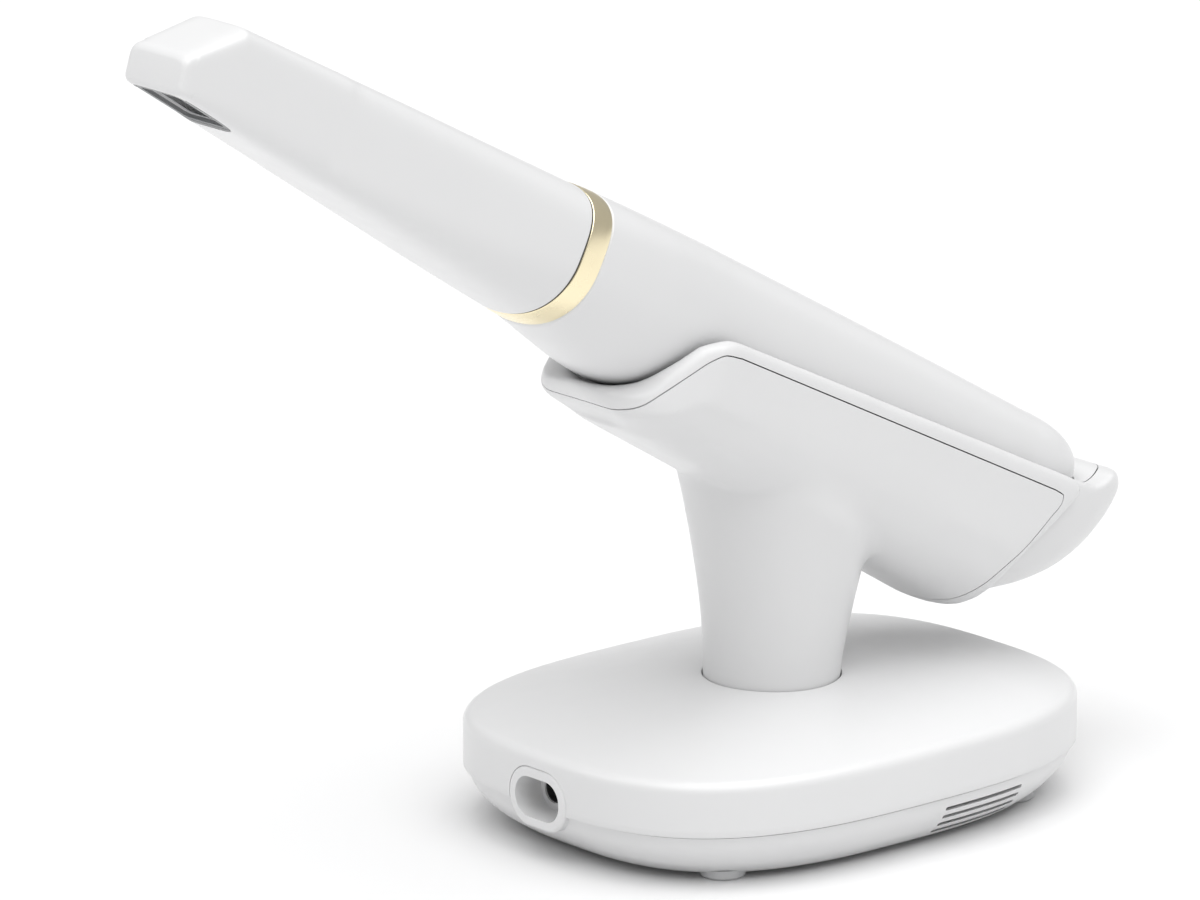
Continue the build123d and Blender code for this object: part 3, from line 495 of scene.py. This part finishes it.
MATERIALS = {
    "shell_white": surface("scanner shell", (0.735, 0.736, 0.739), (0.724, 0.725, 0.729), (0.30, 0.38),
                           depth=0.000004, coat=0.15),
    "stand_white": surface("stand shell", (0.730, 0.731, 0.734), (0.719, 0.720, 0.724), (0.32, 0.40),
                           depth=0.000004, coat=0.12),
    "base_white": surface("base shell", (0.735, 0.736, 0.739), (0.724, 0.725, 0.729), (0.28, 0.36),
                          depth=0.000004, coat=0.15),
    "tray_white": surface("tray", (0.80, 0.806, 0.816), (0.77, 0.776, 0.788),
                          (0.5, 0.6), 1500.0, 0.00003),
    "champagne": surface("champagne metal", (0.95, 0.85, 0.60), (0.92, 0.82, 0.57), (0.24, 0.33), 2600.0,
                         0.000006, metallic=1.0, stretch=(1.0, 0.15, 1.0)),
    "seal_grey": surface("seal", (0.09, 0.088, 0.08), (0.07, 0.068, 0.062),
                         (0.6, 0.75), 1800.0, 0.00003),
    "pad_rubber": surface("rest pad", (0.10, 0.105, 0.11), (0.08, 0.083, 0.088),
                          (0.65, 0.8), 1800.0, 0.00004),
    "foot_rubber": surface("foot", (0.60, 0.605, 0.61), (0.55, 0.555, 0.56),
                           (0.6, 0.75), 1600.0, 0.00004),
    "frame_grey": surface("window frame", (0.24, 0.245, 0.25), (0.2, 0.205, 0.21),
                          (0.4, 0.5), 1600.0, 0.00002),
    "mirror": surface("mirror", (0.78, 0.80, 0.82), (0.74, 0.76, 0.78),
                      (0.02, 0.05), 300.0, 0.000001, metallic=1.0),
    "nose_black": surface("nose", (0.02, 0.02, 0.022), (0.03, 0.03, 0.032),
                          (0.4, 0.55), 1500.0, 0.00003),
    "optic_glass": glass("optic glass", (0.86, 0.92, 0.96), (0.02, 0.05)),
    "button_grey": surface("button", (0.70, 0.71, 0.73), (0.67, 0.68, 0.70), (0.3, 0.4), coat=0.2),
    "light_guide": surface("light guide", (0.78, 0.84, 0.92), (0.74, 0.80, 0.90),
                           (0.15, 0.25), 700.0, coat=0.4),
    "contact_gold": surface("gold contact", (0.83, 0.62, 0.26), (0.78, 0.57, 0.22), (0.18, 0.3), 2000.0,
                            0.000005, metallic=1.0),
    "screw_steel": surface("zinc steel", (0.55, 0.55, 0.56), (0.48, 0.48, 0.49), (0.28, 0.42), 1200.0,
                           0.00001, metallic=1.0, stretch=(1.0, 0.2, 1.0)),
    "cast_alloy": surface("blasted alloy", (0.60, 0.61, 0.62), (0.54, 0.55, 0.56), (0.45, 0.6), 1400.0,
                          0.00004, metallic=1.0),
    "board_green": surface("circuit board", (0.02, 0.14, 0.07), (0.015, 0.11, 0.055),
                           (0.3, 0.45), 600.0, 0.00003),
    "chip_black": surface("chip", (0.025, 0.025, 0.028), (0.035, 0.035, 0.038),
                          (0.45, 0.6), 1400.0, 0.00002),
    "battery_wrap": surface("battery wrap", (0.03, 0.06, 0.18), (0.025, 0.05, 0.15),
                            (0.25, 0.4), 400.0, 0.00003),
    "inner_black": surface("inner plastic", (0.03, 0.03, 0.032), (0.045, 0.045, 0.047),
                           (0.45, 0.6), 1500.0, 0.00003),
    "ballast_iron": surface("ballast iron", (0.13, 0.13, 0.135), (0.10, 0.095, 0.09), (0.6, 0.8), 500.0,
                            0.0001, metallic=0.8),
    "lead_jacket": surface("lead jacket", (0.04, 0.04, 0.042), (0.03, 0.03, 0.032),
                           (0.5, 0.65), 1500.0, 0.00002),
}


def paint_cad_nodes():
    """Give every CAD node the material of its slot in the record."""
    for entry in frame["record"]["subparts"]:
        node = nodes[entry["node"]]
        node.data.materials.clear()
        node.data.materials.append(MATERIALS[entry["material_slot"]])
        node.data.shade_smooth()


# ---------------------------------------------------------------- scan tip
def tip_powers(along):
    share = min(1.0, max(0.0, -along / POWER_SPAN))
    return (TOP_POWER + (TIP_END_POWER - TOP_POWER) * share,
            BOTTOM_POWER + (TIP_END_POWER - BOTTOM_POWER) * share)


def tip_ring(along, inset=0.0, shrink=0.0):
    """Tip section, leaning forward near its end and cut down by the mirror ramp."""
    lean = END_LEAN * min(1.0, max(0.0, (LEAN_START - along) / LEAN_SPAN))
    half_width, top, bottom = table(TIP_SECTIONS, along)
    slope = (RAMP_TOP[1] - RAMP_FOOT[1]) / (RAMP_TOP[0] - RAMP_FOOT[0])
    ramp = (RAMP_TOP[1] + slope * (along - lean * END_UP - RAMP_TOP[0])) / (1 - slope * lean)
    ramp -= inset * (hypot(1.0, slope) - 1.0)
    top = -RAMP_SOFTNESS * np.logaddexp(-top / RAMP_SOFTNESS, -ramp / RAMP_SOFTNESS)
    less = inset + shrink
    return section(along, half_width - less, top - less, bottom + less, tip_powers(along), lean)


def window_prism(grow, low, high):
    """Rounded block through the tip's underside, square to it."""
    direction = AXIS * cos(WINDOW_SLOPE) - UP * sin(WINDOW_SLOPE)
    outward = -AXIS * sin(WINDOW_SLOPE) - UP * cos(WINDOW_SLOPE)
    middle = sum(WINDOW_SPAN) / 2
    origin = tilted([(middle, 0.0, WINDOW_LEVEL)])[0]
    half_x = (WINDOW_SPAN[1] - WINDOW_SPAN[0]) / 2 + grow
    half_y = WINDOW_HALF_WIDTH + grow
    angle = np.arange(64) * tau / 64
    outline = np.column_stack([half_x * signed_power(np.cos(angle), WINDOW_CORNER),
                               half_y * signed_power(np.sin(angle), WINDOW_CORNER)])
    return prism(outline, origin, direction, np.cross(outward, direction), low, high)


def build_tip():
    turns = np.linspace(0.0, pi / 2, 7)[1:]
    stations = np.concatenate([np.linspace(-0.3, -94.0, 60),
                               np.linspace(-95.0, TIP_END + EDGE_ROUND, 44)])
    outer = [tip_ring(-0.1, shrink=0.15)]
    outer += [tip_ring(a) for a in stations]
    outer += [tip_ring(TIP_END + EDGE_ROUND * (1 - sin(t)), shrink=EDGE_ROUND * (1 - cos(t)))
              for t in turns]
    inner = [tip_ring(a, inset=TIP_WALL) for a in np.linspace(-0.1, TIP_BORE_END, 60)]
    tip = sleeve("tip_sleeve", outer, inner)
    carve(tip, window_prism(0.0, *WINDOW_CUT))
    carve(tip, window_prism(FRAME_MARGIN, *FRAME_CUT))
    finish_piece(tip, "scan_tip", "shell_white", "tip_shell")


# ---------------------------------------------------------------- handpiece
def handle_ring(along, grow=0.0):
    half_width, top, bottom = table(HANDLE_SECTIONS, min(along, HANDLE_SECTIONS[-1][0]))
    if along > TAIL_START:
        share = min(0.999, (along - TAIL_START) / TAIL_LENGTH)
        size = (1 - share ** TAIL_POWER) ** (1 / TAIL_POWER)
        half_width, top, bottom = (v * size for v in table(HANDLE_SECTIONS, TAIL_START))
    return section(along, half_width + grow, top + grow, bottom - grow, RING_POWERS)


def handle_stations(end):
    tail = TAIL_START + (end - TAIL_START) * (1 - (1 - np.linspace(0, 1, 30)) ** 2)
    return np.concatenate([
        np.linspace(RING_LENGTH + 0.35, 60.0, 60), np.linspace(62.5, 149.0, 34), tail])


def stadium(length, width, count=24):
    """Outline of a slot with round ends."""
    radius = width / 2
    turn = np.linspace(-pi / 2, pi / 2, count)
    half = length / 2 - radius
    right = np.column_stack([half + radius * np.cos(turn), radius * np.sin(turn)])
    return np.vstack([right, -right])


def circle(radius, count=32):
    angle = np.arange(count) * tau / count
    return np.column_stack([radius * np.cos(angle), radius * np.sin(angle)])


def upright_to_handle(outline, along, across, low, high):
    """Block square to the handle's top over an outline at one place."""
    origin = tilted([(along, across, 0.0)])[0]
    return prism(outline, origin, AXIS, ACROSS, low, high)


def build_handle():
    outer = [handle_ring(RING_LENGTH, -0.25)]
    outer += [handle_ring(a) for a in handle_stations(TAIL_START + TAIL_LENGTH)]
    inner = [handle_ring(a, -SHELL_WALL) for a in np.linspace(RING_LENGTH, HANDLE_BORE_END, 60)]
    handle = sleeve("handle_casing", outer, inner)
    hole = stadium(BUTTON_SIZE[0] + 2 * LIGHT_BAND, BUTTON_SIZE[1] + 2 * LIGHT_BAND)
    carve(handle, upright_to_handle(hole, BUTTON_ALONG, 0.0, *BUTTON_CUT))
    for along, across in PAD_PLACES:
        carve(handle, upright_to_handle(circle(PAD_HOLE), along, across, *PAD_CUT))
    finish_piece(handle, "handpiece", "shell_white", "handle_shell")

    band = []
    for along, grow in RING_CROWN:
        half_width, top, bottom = (v + flare * along for v, flare in zip(RING_FRONT, RING_FLARE))
        band.append(section(along, half_width + grow, top + grow, bottom - grow, RING_POWERS))
    for along in (5.9, 0.3):
        band.append(section(along, *COLLAR, RING_POWERS))
    ring = hoop("ring_band", band)
    finish_piece(ring, "handpiece", "champagne", "accent_ring")


# ---------------------------------------------------------------- cradle and neck
def joint_outline(grow):
    """Side-view outline of the cradle's outer panel, grown by a gap."""
    front, rear = soft_line(PARTING_LINE), soft_line(PARTING_CORNER + PARTING_REAR)
    line = np.vstack([front, rear])
    step = np.gradient(line, axis=0)
    step /= np.hypot(step[:, 0], step[:, 1])[:, None]
    line = line + grow * np.column_stack([-step[:, 1], step[:, 0]])
    return np.vstack([line, [
        (line[-1][0], JOINT_FLOOR), (JOINT_FRONT, JOINT_FLOOR), (JOINT_FRONT, line[0][1])]])


def crease_weight(obj):
    """Weights round the crease where the neck meets the cradle's underside."""
    places, normals = vertex_rows(obj, "co") / MM, vertex_rows(obj, "normal")
    start, end = edge_ends(obj)
    share = neighbour_count(start, end, len(places))
    hollow = np.zeros(len(places))
    for k in range(3):
        middle = neighbour_total(places[:, k], start, end) / share
        hollow += (middle - places[:, k]) * normals[:, k]
    heights, centres = np.array(NECK_AXIS).T
    height = places[:, 2]
    near = np.hypot(places[:, 0] - np.interp(height, heights, centres), places[:, 1])
    low, high = CREASE_HEIGHTS
    inner, outer = CREASE_RADII
    zone = (height > low) & (height < high) & (near > inner) & (near < outer)
    weight = ((hollow > CREASE_HOLLOW) & zone).astype(float)
    for _ in range(CREASE_SPREAD):
        total = neighbour_total(weight, start, end)
        weight = np.maximum(weight, np.minimum(1.0, 1.15 * total / share))
    return np.where(near > inner - 1.0, weight, 0.0)


def side_view(places):
    """Along and up of each point."""
    offset = places - RING_CENTRE
    return offset @ AXIS, offset @ UP


def seat_neck(obj):
    """Draw the neck's flare in where it would stand proud of the cradle's cheeks."""
    places = vertex_rows(obj, "co") / MM
    along, up = side_view(places)
    half_width, bottom = (smooth_curve(HULL_SECTIONS[:, 0], HULL_SECTIONS[:, k], along)
                          for k in (1, 2))
    drop = np.clip((HULL_LEVEL - up) / (HULL_LEVEL - bottom), 0.0, 0.999)
    cheek = half_width * (1 - drop ** HULL_POWER) ** (1 / HULL_POWER)
    excess = np.maximum(np.abs(places[:, 1]) - cheek, 0.0)
    rise = np.clip((up - bottom - SEAT_START) / SEAT_RISE, 0.0, 1.0)
    share = rise * rise * (3 - 2 * rise)
    inside = (along > NECK_SPAN[0]) & (along < NECK_SPAN[1])
    places[:, 1] -= np.where(inside, np.sign(places[:, 1]) * excess * share, 0.0)
    move_vertices(obj, places * MM)


def blunt_bow(obj):
    """Round the cradle's bow under its lip, in towards the middle of its curve."""
    places = vertex_rows(obj, "co") / MM
    along, up = side_view(places)
    under = np.clip(BOW_TOP - up, 0.0, 0.98 * BOW_ROUND)
    less = BOW_ROUND - np.sqrt(BOW_ROUND ** 2 - under ** 2)
    less *= np.clip((BOW_END - along) / BOW_FADE, 0.0, 1.0)
    reach = np.column_stack([along - BOW_MIDDLE, places[:, 1]])
    reach[:, 0] = np.minimum(reach[:, 0], 0.0)
    distance = np.maximum(np.hypot(reach[:, 0], reach[:, 1]), 1.0)
    share = less * np.clip(distance / BOW_CORE, 0.0, 1.0) / distance
    places -= (reach[:, :1] * AXIS + reach[:, 1:] * ACROSS) * share[:, None]
    move_vertices(obj, places * MM)


def lip_weight(obj):
    """Weights near the cradle's free edge, for rounding it over."""
    along, up = side_view(vertex_rows(obj, "co") / MM)
    line = np.vstack([soft_line(RIM_LINE), soft_line(REAR_EDGE)])
    near = np.full(len(along), 1e9)
    for (a0, u0), (a1, u1) in zip(line[:-1], line[1:]):
        da, du = a1 - a0, u1 - u0
        t = np.clip(((along - a0) * da + (up - u0) * du) / (da * da + du * du + 1e-12), 0.0, 1.0)
        near = np.minimum(near, np.hypot(along - a0 - t * da, up - u0 - t * du))
    return np.clip(LIP_FULL - near / LIP_FADE, 0.0, 1.0)


def bow_weight(obj):
    """Weights over the cradle's bow, for blunting its edge."""
    along, up = side_view(vertex_rows(obj, "co") / MM)
    return (np.clip((BOW_ZONE_END - along) / BOW_ZONE_FADE, 0.0, 1.0)
            * np.clip((up - BOW_ZONE_FLOOR) / BOW_ZONE_RISE, 0.0, 1.0))


def build_cradle():
    whole = copy_of("cradle_lip", nodes["stand_shell"], nodes["cradle_rim"])
    remesh(whole, CRADLE_VOXEL)
    seat_neck(whole)
    blunt_bow(whole)
    soften(whole, SKIN_ROUNDS)
    soften(whole, LIP_ROUNDS, lip_weight(whole))
    soften(whole, BOW_ROUNDS, bow_weight(whole))
    soften(whole, CREASE_ROUNDS, crease_weight(whole))
    soften(whole, LAST_ROUNDS)
    panel = bpy.data.objects.new("cradle_panel", whole.data.copy())
    bpy.context.scene.collection.objects.link(panel)
    carve(panel, side_prism(joint_outline(-PARTING_GAP / 2)), "INTERSECT")
    carve(whole, side_prism(joint_outline(PARTING_GAP / 2)))
    finish_piece(panel, "stand", "stand_white", "stand_shell")
    finish_piece(whole, "stand", "stand_white", "cradle_rim")


def stern_outline(half_width, end, front=STERN_FRONT):
    """Plan outline with a rounded end, as (along, across)."""
    turn = np.linspace(-pi / 2, pi / 2, 49)
    start = end - STERN_ROUND
    nose = np.column_stack([start + STERN_ROUND * np.cos(turn), half_width * np.sin(turn)])
    return np.vstack([nose, [(front, half_width), (front, -half_width)]])


def build_stern():
    rings = []
    for up in np.concatenate([np.linspace(-31.5, 3.8, 36), np.linspace(4.2, 9.4, 14)]):
        half_width, end = (float(smooth_curve(STERN_LEVELS[:, 0], STERN_LEVELS[:, k], [up])[0])
                           for k in (1, 2))
        over = max(0.0, up - (STERN_LEVELS[-1][0] - STERN_CROWN))
        less = STERN_CROWN - (STERN_CROWN ** 2 - over ** 2) ** 0.5
        plan = stern_outline(half_width - STERN_STEP - 0.5 * less, end - less)
        rings.append(tilted(np.column_stack([plan, np.full(len(plan), up)])))
    whole = solid_of_rings("stern_cap", rings)
    carve(whole, side_prism(np.vstack([soft_line(STERN_TOP), [(195, 60), (110, 60)]])))
    remesh(whole, STERN_VOXEL)
    soften(whole, STERN_ROUNDS)
    stations = handle_stations(TAIL_START + TAIL_LENGTH + 0.6)
    carve(whole, solid_of_rings("cutter", [handle_ring(a, TAIL_ROOM) for a in stations]))
    carve(whole, upright_to_handle(stern_outline(*TAIL_WAY, ROOM_FRONT), 0.0, 0.0, 0.0, CLEAR))
    carve(whole, side_prism([(60, 60)] + REAR_EDGE + [(60, -60)]))
    inner = bpy.data.objects.new("stern_inner", whole.data.copy())
    bpy.context.scene.collection.objects.link(inner)
    half_width = STERN_LEVELS[-1][1] - STERN_STEP - STERN_LIP
    plan = stern_outline(half_width - PARTING_GAP, STERN_JOINT_END - PARTING_GAP, ROOM_FRONT)
    carve(inner, upright_to_handle(plan, 0, 0, STERN_JOINT_FLOOR, CLEAR), "INTERSECT")
    plan = stern_outline(half_width, STERN_JOINT_END, ROOM_FRONT)
    carve(whole, upright_to_handle(plan, 0, 0, STERN_JOINT_FLOOR - 0.3, CLEAR))
    finish_piece(whole, "stand", "stand_white", "stern_cover")
    finish_piece(inner, "stand", "stand_white", "stern_tray")


# ---------------------------------------------------------------- base
def base_outline(scale=1.0):
    angle = np.arange(BASE_AROUND) * tau / BASE_AROUND
    return np.column_stack([BASE_HALF[0] * scale * signed_power(np.cos(angle), 2 / BASE_POWER),
                            BASE_HALF[1] * scale * signed_power(np.sin(angle), 2 / BASE_POWER)])


def inset(outline, depth):
    """Outline moved inwards by a depth."""
    step = np.roll(outline, -1, axis=0) - np.roll(outline, 1, axis=0)
    step /= np.hypot(step[:, 0], step[:, 1])[:, None]
    return outline - depth * np.column_stack([step[:, 1], -step[:, 0]])


def dome_height(points):
    parts = (np.abs(points[:, k] / BASE_HALF[k]) ** BASE_POWER for k in (0, 1))
    share = sum(parts) ** (1 / BASE_POWER)
    return WALL_TOP_Z + DOME_RISE * (1 - share ** 2)


def at_height(outline, height):
    return np.column_stack([outline, np.broadcast_to(height, len(outline))])


def base_upper_rings():
    outline = base_outline()
    hole = outline / np.hypot(outline[:, 0], outline[:, 1])[:, None] * NECK_HOLE
    start = radians(10.0)
    rim = inset(outline, BASE_EDGE_ROUND * (1 - sin(start)))
    rim_height = dome_height(rim)
    rings = [at_height(hole * 0.995, dome_height(hole) - 0.35)]
    for share in np.concatenate([[0.0, 0.004, 0.012], np.linspace(0.04, 1.0, 30)]):
        flat = hole + (rim - hole) * share
        rings.append(at_height(flat, dome_height(flat) - (0.1 if share == 0 else 0.0)))
    centre = rim_height - BASE_EDGE_ROUND * cos(start)
    for turn in np.linspace(start, pi / 2, 12)[1:]:
        flat = inset(outline, BASE_EDGE_ROUND * (1 - sin(turn)))
        rings.append(at_height(flat, centre + BASE_EDGE_ROUND * cos(turn)))
    for height in (18.0, 14.0, SEAM_Z + SEAM_CHAMFER):
        rings.append(at_height(outline, height))
    rings.append(at_height(inset(outline, 0.12), SEAM_Z + 0.1))
    rings.append(at_height(inset(outline, SEAM_CHAMFER), SEAM_Z))
    wall = inset(outline, BASE_SKIN)
    rings.append(at_height(wall, SEAM_Z))
    rings.append(at_height(wall, WALL_TOP_Z - BASE_SKIN))
    rings.append(at_height(hole + (wall - hole) * 0.5, WALL_TOP_Z + DOME_RISE * 0.6 - BASE_SKIN))
    rings.append(at_height(hole * 0.995, dome_height(hole) - BASE_SKIN))
    return rings


def lower_scale(height):
    """Size of the lower shell's outline at a height, as a share of the base's."""
    return float(smooth_curve(*LOWER_PROFILE.T, [height])[0])


def base_lower():
    rings = [at_height(base_outline(scale), height) for height, scale in LOWER_UNDERSIDE]
    for height, less in LOWER_EDGE:
        rings.append(at_height(base_outline(lower_scale(height) - less), height))
    for height in np.linspace(2.3, 11.9, 26):
        rings.append(at_height(base_outline(lower_scale(height)), height))
    for height, scale in LOWER_INSIDE:
        rings.append(at_height(base_outline(scale), height))
    return solid_of_rings("base_lower", rings)


def port_prism():
    """Round-ended block along X at the power inlet."""
    return prism(stadium(*BEZEL_SIZE), (0.0, 0.0, PORT_Z), (0, 1, 0), (0, 0, 1), *PORT_CUT)


def build_base():
    upper = hoop("base_upper", base_upper_rings())
    carve(upper, port_prism())
    finish_piece(upper, "stand", "base_white", "base_top_shell")
    lower = base_lower()
    carve(lower, port_prism())
    for x, y in FOOT_PLACES:
        carve(lower, prism(circle(FOOT_SEAT), (x, y, 0.0), (1, 0, 0), (0, 1, 0), *FOOT_CUT))
    for i in range(VENT_COUNT):
        plan = stadium(VENT_LENGTH, VENT_HEIGHT, 8)
        origin = (VENT_X, 0.0, VENT_TOP_Z - i * VENT_PITCH)
        carve(lower, prism(plan, origin, (1, 0, 0), (0, 0, 1), *VENT_CUT))
    finish_piece(lower, "stand", "base_white", "base_bottom_shell")


paint_cad_nodes()
build_tip()
build_handle()
build_cradle()
build_stern()
build_base()


# ---------------------------------------------------------------- floor, light and camera
FLOOR_HALF = 4000.0
WORLD_STRENGTH = 0.45
SKY_ENERGY, SKY_ANGLE = 2.85, radians(75.0)
SKY_DIRECTION = (0.08, 0.24, -1.0)
# the rest is in metres, as Blender takes it
SIDE_PLACE, SIDE_AIM, SIDE_SIZE, SIDE_ENERGY = (-1.2, 0.9, 1.4), (-0.02, 0.0, 0.1), (0.9, 0.9), 3.0
SENSOR, LENS = 36.0, 285.2       # mm
AZIMUTH, ELEVATION = radians(-40.5), radians(15.5)
CAMERA_AIM, CAMERA_DISTANCE = (-0.02843, 0.02428, 0.0797), 2.05833


def area_light(name, place, aim, size, energy):
    data = bpy.data.lights.new(name, "AREA")
    data.shape = "RECTANGLE"
    data.size, data.size_y = size
    data.energy = energy
    light = bpy.data.objects.new(name, data)
    light.location = place
    light.rotation_euler = (Vector(aim) - Vector(place)).to_track_quat("-Z", "Y").to_euler()
    bpy.context.scene.collection.objects.link(light)


def build_stage():
    half = FLOOR_HALF
    corners = [(-half, -half, 0), (half, -half, 0), (half, half, 0), (-half, half, 0)]
    floor = new_object("floor", corners, [(0, 1, 2, 3)])
    floor.data.materials.append(surface(
        "floor", (0.81, 0.81, 0.812), (0.80, 0.80, 0.802), (0.75, 0.85), 40.0, 0.0001, patch=3.0))
    world = bpy.data.worlds.new("soft white")
    world.use_nodes = True
    world.node_tree.nodes["Background"].inputs["Color"].default_value = (1.0, 1.0, 1.0, 1.0)
    world.node_tree.nodes["Background"].inputs["Strength"].default_value = WORLD_STRENGTH
    bpy.context.scene.world = world
    sky = bpy.data.lights.new("sky", "SUN")
    sky.energy = SKY_ENERGY
    sky.angle = SKY_ANGLE
    overhead = bpy.data.objects.new("sky", sky)
    overhead.rotation_euler = Vector(SKY_DIRECTION).to_track_quat("-Z", "Y").to_euler()
    bpy.context.scene.collection.objects.link(overhead)
    area_light("left", SIDE_PLACE, SIDE_AIM, SIDE_SIZE, SIDE_ENERGY)


def build_camera():
    data = bpy.data.cameras.new("view")
    data.sensor_width = SENSOR
    data.lens = LENS
    data.clip_start, data.clip_end = 0.1, 30.0
    camera = bpy.data.objects.new("view", data)
    back = Vector((sin(AZIMUTH) * cos(ELEVATION), -cos(AZIMUTH) * cos(ELEVATION), sin(ELEVATION)))
    camera.location = Vector(CAMERA_AIM) + back * CAMERA_DISTANCE
    camera.rotation_euler = (-back).to_track_quat("-Z", "Y").to_euler()
    bpy.context.scene.collection.objects.link(camera)
    bpy.context.scene.camera = camera


build_stage()
build_camera()
bpy.context.scene.view_settings.view_transform = "Standard"
